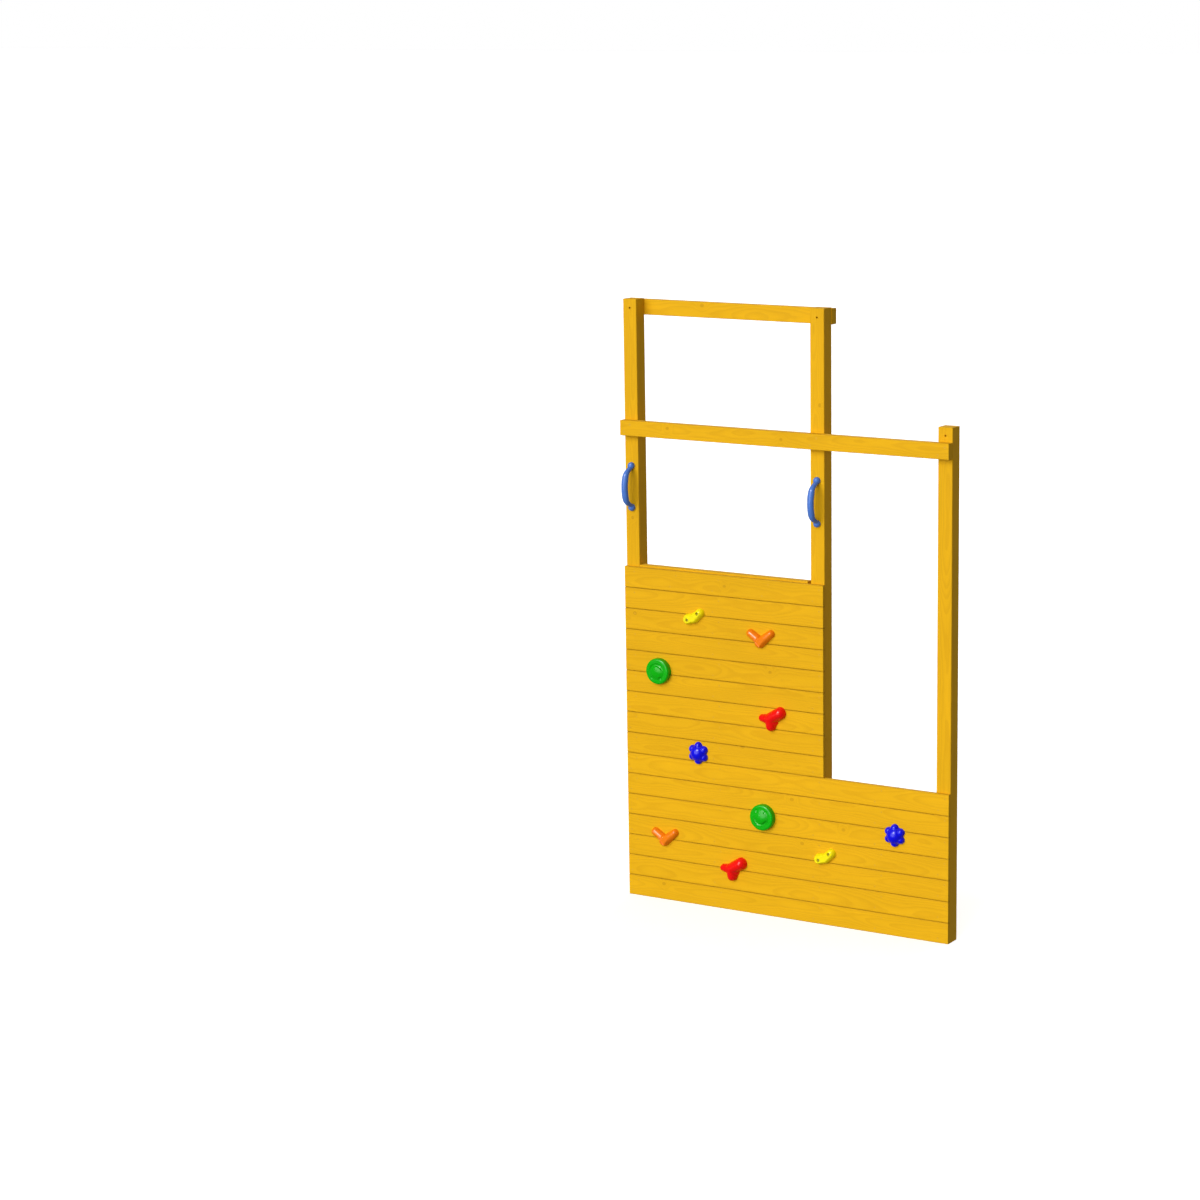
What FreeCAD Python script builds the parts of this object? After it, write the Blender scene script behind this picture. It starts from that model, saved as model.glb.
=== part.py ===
import FreeCAD, Part
import math
import os

from FreeCAD import Vector

# Rock climbing wall of a wooden play tower, in millimetres.
# Drawn with x from the wall's left end, y back from the boards' front plane and z up from the ground.
# Every piece is shifted on saving, so that the origin is at the bottom centre of the whole part.

# Boards
BOARD_PITCH = 95.0
BOARD_HEIGHT = 94.0
BOARD_THICK = 18.0
BOARD_EDGE_RADIUS = 3.0
BOARD_COUNT = 16
LONG_BOARD_COUNT = 7
WALL_WIDTH = 1620.0
UPPER_WIDTH = 1010.0

# Posts
POST_SIDE = 68.0
POST_EDGE_RADIUS = 3.0
POST_FRONT_Y = BOARD_THICK
POST_BACK_Y = POST_FRONT_Y + POST_SIDE
POST_LEFT_X = 34.0
POST_MIDDLE_X = 974.0
POST_RIGHT_X = 1586.0
TALL_POST_HEIGHT = 2710.0
RIGHT_POST_HEIGHT = 2240.0

# Rails and beams
RAIL_HEIGHT = 68.0
RAIL_THICK = 38.0
RAIL_EDGE_RADIUS = 3.0
GUARD_RAIL_BOTTOM_Z = 2109.0
TIE_BEAM_TOP_Z = 2705.0
DECK_BEAM_HEIGHT = 95.0
DECK_BEAM_TOP_Z = 1527.0
DECK_NOTCH = 15.0
BATTEN_LEFT_X = 470.0
BATTEN_RIGHT_X = 1280.0
BATTEN_RIGHT_TOP_Z = 640.0

# Screws
BOARD_SCREW_LENGTH = 50.0
BOARD_SCREW_RADIUS = 2.5
BOARD_SCREW_HEAD_RADIUS = 4.5
LONG_SCREW_LENGTH = 96.0
LONG_SCREW_RADIUS = 3.0
LONG_SCREW_HEAD_RADIUS = 6.0
STAGGER_X = 16.0
STAGGER_BOARD_Z = 26.0
STAGGER_RAIL_Z = 17.0
SOCKET_DEPTH = 1.8

# Holes left for the rest of the tower
TOWER_HOLE_RADIUS = 4.5
COUNTERBORE_RADIUS = 11.0
COUNTERBORE_DEPTH = 8.0
DECK_HOLE_SPACING = 50.0
DECK_HOLE_UPPER_Z = 1480.0
DECK_HOLE_LOWER_Z = 615.0
SIDE_RAIL_HOLE_SPACING = 34.0
SIDE_RAIL_HOLE_Z = 1097.0
RAFTER_HOLE_TALL_Z = 2671.0
RAFTER_HOLE_RIGHT_Z = 2205.0
ANCHOR_HOLE_Y = 70.0
ANCHOR_HOLE_Z = 42.0

# Angle brackets under the deck beam
BRACKET_LEG = 60.0
BRACKET_WIDTH = 30.0
BRACKET_THICK = 2.5
BRACKET_SCREW_OFFSETS = (20.0, 45.0)
BRACKET_SCREW_LENGTH = 30.0
BRACKET_SCREW_RADIUS = 2.25
BRACKET_HOLE_RADIUS = 2.5
PAN_HEAD_RADIUS = 4.5
PAN_HEAD_HEIGHT = 2.4

# Hold fixings
HOLD_SEAT_Y = -12.0
HOLD_HOLE_RADIUS = 4.4
HOLD_COUNTERBORE_RADIUS = 7.5
PLUG_RADIUS = 7.4
PLUG_GAP = 0.5
ORANGE_GROOVE_RADIUS = 4.5
GREEN_RADIUS = 58.5
HOLD_BOLT_RADIUS = 4.0
HOLD_BOLT_END_Y = 21.0
CAP_HEAD_RADIUS = 6.5
CAP_HEAD_HEIGHT = 8.0
HEX_SOCKET_RADIUS = 3.4
HEX_SOCKET_DEPTH = 4.0
TNUT_BARREL_RADIUS = 5.0
TNUT_BARREL_LENGTH = 10.0
TNUT_FLANGE_RADIUS = 11.0
TNUT_FLANGE_THICK = 1.6
POST_FIXING_END_Y = 60.0

# Grab handles
HANDLE_CENTRE_Z = 1878.0
HANDLE_HALF_SPACING = 94.0
HANDLE_GRIP_Y = -43.5
HANDLE_GRIP_RADIUS = 14.5
HANDLE_NECK_RADIUS = 10.8
HANDLE_PAD_RADIUS = 15.5
HANDLE_PAD_SKIRT = 6.0
HANDLE_SEAT_Y = 6.0
HANDLE_SCREW_RADIUS = 3.5
HANDLE_SCREW_END_Y = 68.0
HANDLE_HEAD_RADIUS = 6.0
HANDLE_HEAD_HEIGHT = 4.5
HANDLE_COUNTERBORE_RADIUS = 6.5
HANDLE_CAP_RADIUS = 6.4

# Whole part
FRONT_LIMIT_Y = HANDLE_GRIP_Y - HANDLE_GRIP_RADIUS
BACK_LIMIT_Y = POST_BACK_Y + RAIL_THICK
ORIGIN = Vector(WALL_WIDTH / 2, (FRONT_LIMIT_Y + BACK_LIMIT_Y) / 2, 0)

AXIS_X = Vector(1, 0, 0)
AXIS_Y = Vector(0, 1, 0)
AXIS_Z = Vector(0, 0, 1)


# ---------------------------------------------------------------- helpers

def save(name, shapes):
    """Write one node. A list is a group of separate solids."""
    if isinstance(shapes, list):
        shape = Part.makeCompound([s.copy() for s in shapes])
    else:
        shape = shapes.copy()
    shape.translate(ORIGIN * -1)
    shape.exportStep("parts/" + name + ".step")


def solid_of(shape):
    """The single solid left by a boolean operation, with its split faces joined."""
    clean = shape.removeSplitter()
    solids = clean.Solids
    if len(solids) != 1:
        raise ValueError("expected one solid, found %d" % len(solids))
    return solids[0]


def runs_along(edge, axis):
    """True for a straight edge parallel to the axis."""
    direction = edge.Vertexes[1].Point - edge.Vertexes[0].Point
    return abs(direction.dot(axis)) > 0.999 * direction.Length


def bar(low, size, edge_radius, long_axis):
    """A straight timber with its four long edges rounded."""
    box = Part.makeBox(size.x, size.y, size.z, low)
    edges = [edge for edge in box.Edges if runs_along(edge, long_axis)]
    return box.makeFillet(edge_radius, edges)


def rod(radius, start_y, end_y, x=0.0, z=0.0):
    """Cylinder along +y between two depths."""
    return Part.makeCylinder(radius, end_y - start_y, Vector(x, start_y, z), AXIS_Y)


def front_rim(shape):
    """The round edge at the front end of a cylinder along y."""
    front_y = shape.BoundBox.YMin
    rim = [e for e in shape.Edges if e.BoundBox.YMax < front_y + 0.01]
    return [e for e in rim if e.BoundBox.XLength > 1]


def cut_all(shape, tools):
    """Take every tool out of the shape in one operation."""
    return solid_of(shape.cut(tools))


def at(shape, point):
    """A copy of a shape drawn at the zero point, moved to the given point."""
    moved = shape.copy()
    moved.translate(point)
    return moved


def turned(shape, axis, degrees):
    """A copy of a shape turned about an axis through the zero point."""
    copy = shape.copy()
    copy.rotate(Vector(0, 0, 0), axis, degrees)
    return copy


# ---------------------------------------------------------------- fasteners

def countersunk_body(length, radius, head_radius):
    """Outside of a countersunk screw. The head is flush at y = 0 and the point is along +y."""
    head = head_radius - radius
    tip = radius * 2.0
    outline = [
        Vector(0, 0, 0),
        Vector(head_radius, 0, 0),
        Vector(radius, head, 0),
        Vector(radius, length - tip, 0),
        Vector(0, length, 0),
        Vector(0, 0, 0),
    ]
    face = Part.Face(Part.makePolygon(outline))
    return face.revolve(Vector(0, 0, 0), AXIS_Y, 360)


def countersunk_screw(length, radius, head_radius):
    """Countersunk screw with a square driver socket."""
    body = countersunk_body(length, radius, head_radius)
    side = radius * 1.1
    socket = Part.makeBox(side, SOCKET_DEPTH, side, Vector(-side / 2, 0, -side / 2))
    return solid_of(body.cut(socket))


def pan_screw():
    """Pan-head screw. The head's underside is at y = 0 and the point is along +y."""
    r = BRACKET_SCREW_RADIUS
    outline = [
        Vector(0, -PAN_HEAD_HEIGHT, 0),
        Vector(PAN_HEAD_RADIUS - 1, -PAN_HEAD_HEIGHT, 0),
        Vector(PAN_HEAD_RADIUS, -PAN_HEAD_HEIGHT + 1, 0),
        Vector(PAN_HEAD_RADIUS, 0, 0),
        Vector(r, 0, 0),
        Vector(r, BRACKET_SCREW_LENGTH - 2 * r, 0),
        Vector(0, BRACKET_SCREW_LENGTH, 0),
        Vector(0, -PAN_HEAD_HEIGHT, 0),
    ]
    body = Part.Face(Part.makePolygon(outline)).revolve(Vector(0, 0, 0), AXIS_Y, 360)
    side = r * 1.1
    socket = Part.makeBox(side, 1.4, side, Vector(-side / 2, -PAN_HEAD_HEIGHT, -side / 2))
    return solid_of(body.cut(socket))


def hex_prism(radius, height):
    """Hexagonal prism along +y from y = 0, radius to the corners."""
    corners = []
    for index in range(7):
        angle = math.radians(60 * index)
        corners.append(Vector(radius * math.cos(angle), 0, radius * math.sin(angle)))
    return Part.Face(Part.makePolygon(corners)).extrude(Vector(0, height, 0))


def cap_bolt(end_y, pointed):
    """Socket-head fixing of a hold. The head sits on the seat and the shank runs back to end_y."""
    top_y = HOLD_SEAT_Y - CAP_HEAD_HEIGHT
    head = rod(CAP_HEAD_RADIUS, top_y, HOLD_SEAT_Y)
    head = head.makeFillet(0.8, front_rim(head))
    tip = 2 * HOLD_BOLT_RADIUS if pointed else 1.0
    tip_radius = 0.5 if pointed else HOLD_BOLT_RADIUS - 1.0
    shank = rod(HOLD_BOLT_RADIUS, HOLD_SEAT_Y, end_y - tip)
    point = Part.makeCone(HOLD_BOLT_RADIUS, tip_radius, tip, Vector(0, end_y - tip, 0), AXIS_Y)
    socket = at(hex_prism(HEX_SOCKET_RADIUS, HEX_SOCKET_DEPTH), Vector(0, top_y, 0))
    return solid_of(head.fuse([shank, point]).cut(socket))


def tnut():
    """T-nut pressed into the back of the boards, its flange on their back face."""
    flange = rod(TNUT_FLANGE_RADIUS, BOARD_THICK, BOARD_THICK + TNUT_FLANGE_THICK)
    barrel = rod(TNUT_BARREL_RADIUS, BOARD_THICK - TNUT_BARREL_LENGTH, BOARD_THICK)
    thread = rod(HOLD_BOLT_RADIUS, -1, 2 * BOARD_THICK)
    return solid_of(flange.fuse(barrel).cut(thread))


# ---------------------------------------------------------------- positions

def board_low_z(number):
    """Bottom edge of a board. Number 1 is at the ground."""
    return (number - 1) * BOARD_PITCH


def board_length(number):
    return WALL_WIDTH if number <= LONG_BOARD_COUNT else UPPER_WIDTH


def board_screw_points(number, centre_x):
    """Two staggered screws where a board crosses an upright."""
    middle_z = board_low_z(number) + BOARD_HEIGHT / 2
    return [
        Vector(centre_x - STAGGER_X, 0, middle_z - STAGGER_BOARD_Z),
        Vector(centre_x + STAGGER_X, 0, middle_z + STAGGER_BOARD_Z),
    ]


def screw_column(centre_x, last_board):
    """All board screws along one upright, from the lowest board to last_board."""
    points = []
    for number in range(1, last_board + 1):
        points += board_screw_points(number, centre_x)
    return points


LEFT_COLUMN = screw_column(POST_LEFT_X, BOARD_COUNT)
MIDDLE_COLUMN = screw_column(POST_MIDDLE_X, BOARD_COUNT)
RIGHT_COLUMN = screw_column(POST_RIGHT_X, LONG_BOARD_COUNT)
BATTEN_LEFT_COLUMN = screw_column(BATTEN_LEFT_X, BOARD_COUNT - 1)
BATTEN_RIGHT_COLUMN = screw_column(BATTEN_RIGHT_X, LONG_BOARD_COUNT)
DECK_BEAM_POINTS = (
    board_screw_points(BOARD_COUNT, (POST_LEFT_X + BATTEN_LEFT_X) / 2)
    + board_screw_points(BOARD_COUNT, BATTEN_LEFT_X)
    + board_screw_points(BOARD_COUNT, (BATTEN_LEFT_X + POST_MIDDLE_X) / 2)
)
ALL_BOARD_POINTS = (LEFT_COLUMN + MIDDLE_COLUMN + RIGHT_COLUMN
                    + BATTEN_LEFT_COLUMN + BATTEN_RIGHT_COLUMN + DECK_BEAM_POINTS)


def rail_screw_points(centre_x):
    """Two staggered screws through the guard rail into one post."""
    middle_z = GUARD_RAIL_BOTTOM_Z + RAIL_HEIGHT / 2
    front_y = POST_FRONT_Y - RAIL_THICK
    return [
        Vector(centre_x - STAGGER_X, front_y, middle_z - STAGGER_RAIL_Z),
        Vector(centre_x + STAGGER_X, front_y, middle_z + STAGGER_RAIL_Z),
    ]


def tie_screw_points(centre_x):
    """Two staggered screws through the tie beam into one post, heads at the back."""
    middle_z = TIE_BEAM_TOP_Z - RAIL_HEIGHT / 2
    return [
        Vector(centre_x - STAGGER_X, BACK_LIMIT_Y, middle_z + STAGGER_RAIL_Z),
        Vector(centre_x + STAGGER_X, BACK_LIMIT_Y, middle_z - STAGGER_RAIL_Z),
    ]


RAIL_POINTS = (rail_screw_points(POST_LEFT_X) + rail_screw_points(POST_MIDDLE_X)
               + rail_screw_points(POST_RIGHT_X))
TIE_POINTS = tie_screw_points(POST_LEFT_X) + tie_screw_points(POST_MIDDLE_X)

HANDLE_SCREW_Z = (HANDLE_CENTRE_Z - HANDLE_HALF_SPACING, HANDLE_CENTRE_Z + HANDLE_HALF_SPACING)

# Each hold shape: its two fixing points, measured from the hold's centre.
YELLOW_FIXINGS = ((-25.0, -14.0), (26.0, 19.0))
ORANGE_FIXINGS = ((-36.0, 6.5), (30.0, 5.5))
GREEN_FIXINGS = ((-24.0, 0.0), (24.0, 0.0))
RED_FIXINGS = ((-22.0, 7.0), (32.0, 22.0))
BLUE_FIXINGS = ((-20.0, 0.0), (20.0, 0.0))

# Each hold: name, shape, centre along the wall, centre height, turn about the wall's normal.
HOLDS = (
    ("hold_yellow_upper", "yellow", 362.0, 1322.0, 0),
    ("hold_yellow_lower", "yellow", 1021.0, 312.0, 0),
    ("hold_orange_upper", "orange", 701.0, 1260.0, 0),
    ("hold_orange_lower", "orange", 198.0, 298.0, 0),
    ("hold_green_upper", "green", 178.0, 1059.0, 0),
    ("hold_green_lower", "green", 709.0, 453.0, 180),
    ("hold_red_upper", "red", 758.0, 905.0, 0),
    ("hold_red_lower", "red", 555.0, 196.0, 0),
    ("hold_blue_left", "blue", 377.0, 704.0, 0),
    ("hold_blue_right", "blue", 1363.0, 453.0, 0),
)
PLUGGED_SHAPES = ("orange", "green", "red", "blue")
FIXINGS = {
    "yellow": YELLOW_FIXINGS,
    "orange": ORANGE_FIXINGS,
    "green": GREEN_FIXINGS,
    "red": RED_FIXINGS,
    "blue": BLUE_FIXINGS,
}


def hold_fixing_points():
    """Fixing points of every hold, split into those with T-nuts and those in the middle post."""
    in_boards = []
    in_post = []
    for name, shape, centre_x, centre_z, turn in HOLDS:
        for dx, dz in FIXINGS[shape]:
            point = Vector(centre_x + dx, 0, centre_z + dz)
            if abs(point.x - POST_MIDDLE_X) < POST_SIDE / 2:
                in_post.append(point)
            else:
                in_boards.append(point)
    return in_boards, in_post


TNUT_POINTS, POST_FIXING_POINTS = hold_fixing_points()


# ---------------------------------------------------------------- timber

def board(number):
    """One horizontal board with its screw holes and the holes for hold fixings."""
    low = Vector(0, 0, board_low_z(number))
    size = Vector(board_length(number), BOARD_THICK, BOARD_HEIGHT)
    timber = bar(low, size, BOARD_EDGE_RADIUS, AXIS_X)
    screw = countersunk_body(BOARD_SCREW_LENGTH, BOARD_SCREW_RADIUS, BOARD_SCREW_HEAD_RADIUS)
    fixing = rod(TNUT_BARREL_RADIUS, -1, BOARD_THICK + 1)
    lag = rod(HOLD_BOLT_RADIUS, -1, BOARD_THICK + 1)
    low_z = low.z
    high_z = low.z + BOARD_HEIGHT
    tools = [at(screw, p) for p in ALL_BOARD_POINTS if low_z < p.z < high_z]
    tools += [at(fixing, p) for p in TNUT_POINTS if low_z < p.z < high_z]
    tools += [at(lag, p) for p in POST_FIXING_POINTS if low_z < p.z < high_z]
    return cut_all(timber, tools)


def tower_bolt_hole(centre_x, z):
    """Through hole for a tower bolt, with a counterbore at the front for its head."""
    hole = rod(TOWER_HOLE_RADIUS, POST_FRONT_Y - 1, POST_BACK_Y + 1, centre_x, z)
    recess = rod(COUNTERBORE_RADIUS, POST_FRONT_Y - 1, POST_FRONT_Y + COUNTERBORE_DEPTH, centre_x, z)
    return [hole, recess]


def tower_bolt_pair(centre_x, centre_z, spacing):
    """Two tower bolt holes, one above the other."""
    lower = tower_bolt_hole(centre_x, centre_z - spacing / 2)
    upper = tower_bolt_hole(centre_x, centre_z + spacing / 2)
    return lower + upper


def rafter_hole(centre_x, z):
    """Plain through hole for the bolt that holds a rafter."""
    return rod(TOWER_HOLE_RADIUS, POST_FRONT_Y - 1, BACK_LIMIT_Y + 1, centre_x, z)


def handle_screw_holes(centre_x):
    """Pilot holes for one handle."""
    low_z, high_z = HANDLE_SCREW_Z
    return [
        rod(HANDLE_SCREW_RADIUS, POST_FRONT_Y, HANDLE_SCREW_END_Y, centre_x, low_z),
        rod(HANDLE_SCREW_RADIUS, POST_FRONT_Y, HANDLE_SCREW_END_Y, centre_x, high_z),
    ]


def post(centre_x, height, board_points, extra_tools):
    """One post with pilot holes for everything screwed to it."""
    low = Vector(centre_x - POST_SIDE / 2, POST_FRONT_Y, 0)
    timber = bar(low, Vector(POST_SIDE, POST_SIDE, height), POST_EDGE_RADIUS, AXIS_Z)
    board_screw = countersunk_body(BOARD_SCREW_LENGTH, BOARD_SCREW_RADIUS, BOARD_SCREW_HEAD_RADIUS)
    long_screw = countersunk_body(LONG_SCREW_LENGTH, LONG_SCREW_RADIUS, LONG_SCREW_HEAD_RADIUS)
    tools = [at(board_screw, p) for p in board_points]
    tools += [at(long_screw, p) for p in rail_screw_points(centre_x)]
    return cut_all(timber, tools + extra_tools)


def tie_screw_bodies(centre_x):
    """Space taken by the tie beam's screws at one post."""
    body = countersunk_body(LONG_SCREW_LENGTH, LONG_SCREW_RADIUS, LONG_SCREW_HEAD_RADIUS)
    forwards = turned(body, AXIS_Z, 180)
    return [at(forwards, p) for p in tie_screw_points(centre_x)]


def left_post():
    tools = tower_bolt_pair(POST_LEFT_X, DECK_HOLE_UPPER_Z, DECK_HOLE_SPACING)
    tools += [rafter_hole(POST_LEFT_X, RAFTER_HOLE_TALL_Z)]
    tools += handle_screw_holes(POST_LEFT_X) + tie_screw_bodies(POST_LEFT_X)
    tools += bracket_screws()[0]
    return post(POST_LEFT_X, TALL_POST_HEIGHT, LEFT_COLUMN, tools)


def middle_post():
    tools = tower_bolt_pair(POST_MIDDLE_X, DECK_HOLE_UPPER_Z, DECK_HOLE_SPACING)
    tools += tower_bolt_pair(POST_MIDDLE_X, SIDE_RAIL_HOLE_Z, SIDE_RAIL_HOLE_SPACING)
    tools += [rafter_hole(POST_MIDDLE_X, RAFTER_HOLE_TALL_Z)]
    tools += handle_screw_holes(POST_MIDDLE_X) + tie_screw_bodies(POST_MIDDLE_X)
    tools += bracket_screws()[1]
    tools += [at(cap_bolt(POST_FIXING_END_Y, True), p) for p in POST_FIXING_POINTS]
    return post(POST_MIDDLE_X, TALL_POST_HEIGHT, MIDDLE_COLUMN, tools)


def right_post():
    tools = tower_bolt_pair(POST_RIGHT_X, DECK_HOLE_LOWER_Z, DECK_HOLE_SPACING)
    tools += [rafter_hole(POST_RIGHT_X, RAFTER_HOLE_RIGHT_Z)]
    anchor = Vector(POST_RIGHT_X - POST_SIDE, ANCHOR_HOLE_Y, ANCHOR_HOLE_Z)
    tools += [Part.makeCylinder(TOWER_HOLE_RADIUS, 2 * POST_SIDE, anchor, AXIS_X)]
    return post(POST_RIGHT_X, RIGHT_POST_HEIGHT, RIGHT_COLUMN, tools)


def guard_rail():
    low = Vector(0, POST_FRONT_Y - RAIL_THICK, GUARD_RAIL_BOTTOM_Z)
    timber = bar(low, Vector(WALL_WIDTH, RAIL_THICK, RAIL_HEIGHT), RAIL_EDGE_RADIUS, AXIS_X)
    screw = countersunk_body(LONG_SCREW_LENGTH, LONG_SCREW_RADIUS, LONG_SCREW_HEAD_RADIUS)
    return cut_all(timber, [at(screw, p) for p in RAIL_POINTS])


def tie_beam():
    low = Vector(0, POST_BACK_Y, TIE_BEAM_TOP_Z - RAIL_HEIGHT)
    timber = bar(low, Vector(UPPER_WIDTH, RAIL_THICK, RAIL_HEIGHT), RAIL_EDGE_RADIUS, AXIS_X)
    tools = tie_screw_bodies(POST_LEFT_X) + tie_screw_bodies(POST_MIDDLE_X)
    tools += [rafter_hole(POST_LEFT_X, RAFTER_HOLE_TALL_Z)]
    tools += [rafter_hole(POST_MIDDLE_X, RAFTER_HOLE_TALL_Z)]
    return cut_all(timber, tools)


def deck_beam():
    """Beam behind the top board, between the left and middle posts, notched at its upper right corner."""
    left_end = POST_LEFT_X + POST_SIDE / 2
    right_end = POST_MIDDLE_X - POST_SIDE / 2
    low = Vector(left_end, POST_FRONT_Y, DECK_BEAM_TOP_Z - DECK_BEAM_HEIGHT)
    size = Vector(right_end - left_end, RAIL_THICK, DECK_BEAM_HEIGHT)
    timber = bar(low, size, RAIL_EDGE_RADIUS, AXIS_X)
    screw = countersunk_body(BOARD_SCREW_LENGTH, BOARD_SCREW_RADIUS, BOARD_SCREW_HEAD_RADIUS)
    tools = [at(screw, p) for p in DECK_BEAM_POINTS]
    tools += bracket_screws()[2]
    notch = Vector(right_end - DECK_NOTCH, POST_FRONT_Y - 1, DECK_BEAM_TOP_Z - DECK_NOTCH)
    tools.append(Part.makeBox(2 * DECK_NOTCH, 2 * RAIL_THICK, 2 * DECK_NOTCH, notch))
    return cut_all(timber, tools)


def batten(centre_x, height, points):
    """Upright stiffener behind the boards."""
    low = Vector(centre_x - RAIL_HEIGHT / 2, POST_FRONT_Y, 0)
    timber = bar(low, Vector(RAIL_HEIGHT, RAIL_THICK, height), RAIL_EDGE_RADIUS, AXIS_Z)
    screw = countersunk_body(BOARD_SCREW_LENGTH, BOARD_SCREW_RADIUS, BOARD_SCREW_HEAD_RADIUS)
    return cut_all(timber, [at(screw, p) for p in points])


# ---------------------------------------------------------------- angle brackets

DECK_BEAM_BOTTOM_Z = DECK_BEAM_TOP_Z - DECK_BEAM_HEIGHT
BRACKET_CENTRE_Y = POST_FRONT_Y + RAIL_THICK / 2


def bracket_ends():
    """Inner corner of each bracket and the direction it points along the beam."""
    left = Vector(POST_LEFT_X + POST_SIDE / 2, BRACKET_CENTRE_Y, DECK_BEAM_BOTTOM_Z)
    right = Vector(POST_MIDDLE_X - POST_SIDE / 2, BRACKET_CENTRE_Y, DECK_BEAM_BOTTOM_Z)
    return ((left, 1), (right, -1))


def bracket(corner, side):
    """L-shaped bracket: one leg on the post, one under the beam."""
    outline = [
        (0, 0),
        (BRACKET_LEG, 0),
        (BRACKET_LEG, -BRACKET_THICK),
        (BRACKET_THICK, -BRACKET_THICK),
        (BRACKET_THICK, -BRACKET_LEG),
        (0, -BRACKET_LEG),
        (0, 0),
    ]
    front_y = corner.y - BRACKET_WIDTH / 2
    points = [Vector(corner.x + side * x, front_y, corner.z + z) for x, z in outline]
    plate = Part.Face(Part.makePolygon(points)).extrude(Vector(0, BRACKET_WIDTH, 0))
    holes = []
    for offset in BRACKET_SCREW_OFFSETS:
        under = Vector(corner.x + side * offset, corner.y, corner.z - BRACKET_THICK - 1)
        beside = Vector(corner.x - side, corner.y, corner.z - offset)
        holes.append(Part.makeCylinder(BRACKET_HOLE_RADIUS, BRACKET_THICK + 2, under, AXIS_Z))
        holes.append(Part.makeCylinder(BRACKET_HOLE_RADIUS, BRACKET_THICK + 2, beside, AXIS_X * side))
    return cut_all(plate, holes)


def bracket_screws():
    """Screws of both brackets: into the left post, into the middle post and up into the beam."""
    screw = pan_screw()
    into_left = turned(screw, AXIS_Z, 90)
    into_middle = turned(screw, AXIS_Z, -90)
    upward = turned(screw, AXIS_X, 90)
    groups = ([], [], [])
    for index, (corner, side) in enumerate(bracket_ends()):
        sideways = into_left if side > 0 else into_middle
        for offset in BRACKET_SCREW_OFFSETS:
            beside = Vector(corner.x + side * BRACKET_THICK, corner.y, corner.z - offset)
            under = Vector(corner.x + side * offset, corner.y, corner.z - BRACKET_THICK)
            groups[index].append(at(sideways, beside))
            groups[2].append(at(upward, under))
    return groups


# ---------------------------------------------------------------- climbing holds

def tapered_lobe(start, start_radius, end, end_radius):
    """Smooth lobe: two balls in the wall plane joined by their common cone."""
    p = Vector(start[0], 0, start[1])
    q = Vector(end[0], 0, end[1])
    along = q - p
    distance = along.Length
    slope = (start_radius - end_radius) / distance
    level = math.sqrt(1 - slope * slope)
    a0 = Vector(-start_radius, 0, 0)
    a1 = Vector(start_radius * slope, start_radius * level, 0)
    b1 = Vector(distance + end_radius * slope, end_radius * level, 0)
    b0 = Vector(distance + end_radius, 0, 0)
    half = math.acos(slope)
    a_mid_angle = (math.pi + half) / 2
    a_mid = Vector(start_radius * math.cos(a_mid_angle), start_radius * math.sin(a_mid_angle), 0)
    b_mid = Vector(distance + end_radius * math.cos(half / 2), end_radius * math.sin(half / 2), 0)
    outline = Part.Wire([
        Part.Arc(a0, a_mid, a1).toShape(),
        Part.makeLine(a1, b1),
        Part.Arc(b1, b_mid, b0).toShape(),
        Part.makeLine(b0, a0),
    ])
    lobe = Part.Face(outline).revolve(Vector(0, 0, 0), AXIS_X, 360)
    angle = math.degrees(math.atan2(-along.z, along.x))
    return at(turned(lobe, AXIS_Y, angle), p)


def ball(x, z, radius, y=0.0):
    return Part.makeSphere(radius, Vector(x, y, z))


def is_crease(body, edge):
    """True where the two faces beside an edge meet at an angle of more than ten degrees."""
    if edge.Degenerated or edge.isSeam(body.ancestorsOfType(edge, Part.Face)[0]):
        return False
    faces = body.ancestorsOfType(edge, Part.Face)
    if len(faces) != 2:
        return False
    middle = edge.valueAt((edge.FirstParameter + edge.LastParameter) / 2)
    normals = []
    for face in faces:
        u, v = face.Surface.parameter(middle)
        normals.append(face.normalAt(u, v))
    return normals[0].getAngle(normals[1]) > math.radians(10)


def blended(shape, radius):
    """Round the creases where lobes meet."""
    body = solid_of(shape)
    creases = [e for e in body.Edges if is_crease(body, e)]
    return body.makeFillet(radius, creases)


def on_wall(shape, stretch):
    """Keep the half in front of the wall and stretch it outwards."""
    behind = Part.makeBox(400, 200, 400, Vector(-200, 0, -200))
    front = solid_of(shape.cut(behind))
    matrix = FreeCAD.Matrix()
    matrix.scale(1, stretch, 1)
    return front.transformGeometry(matrix)


def drilled(shape, fixings):
    """Bolt holes with counterbores for the heads."""
    tools = []
    for dx, dz in fixings:
        tools.append(rod(HOLD_HOLE_RADIUS, -90, 10, dx, dz))
        tools.append(rod(HOLD_COUNTERBORE_RADIUS, -90, HOLD_SEAT_Y, dx, dz))
    return cut_all(shape, tools)


def plugs(shape, fixings):
    """Push-in plugs over the bolt heads, flush with the hold's own surface."""
    inner_y = HOLD_SEAT_Y - CAP_HEAD_HEIGHT - PLUG_GAP
    return [solid_of(shape.common(rod(PLUG_RADIUS, -90, inner_y, dx, dz))) for dx, dz in fixings]


def flat_front(shape, y):
    """Cut the front of a hold off flat."""
    return solid_of(shape.cut(Part.makeBox(400, 100, 400, Vector(-200, y - 100, -200))))


def yellow_hold():
    """Bent bean, thicker at its low end."""
    low_half = tapered_lobe((-28, -12), 24.5, (4, -5), 22.0)
    high_half = tapered_lobe((1, -7), 22.5, (30, 19), 21.0)
    bean = blended(low_half.fuse(high_half), 6.0)
    return flat_front(on_wall(bean, 1.35), -26)


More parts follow.
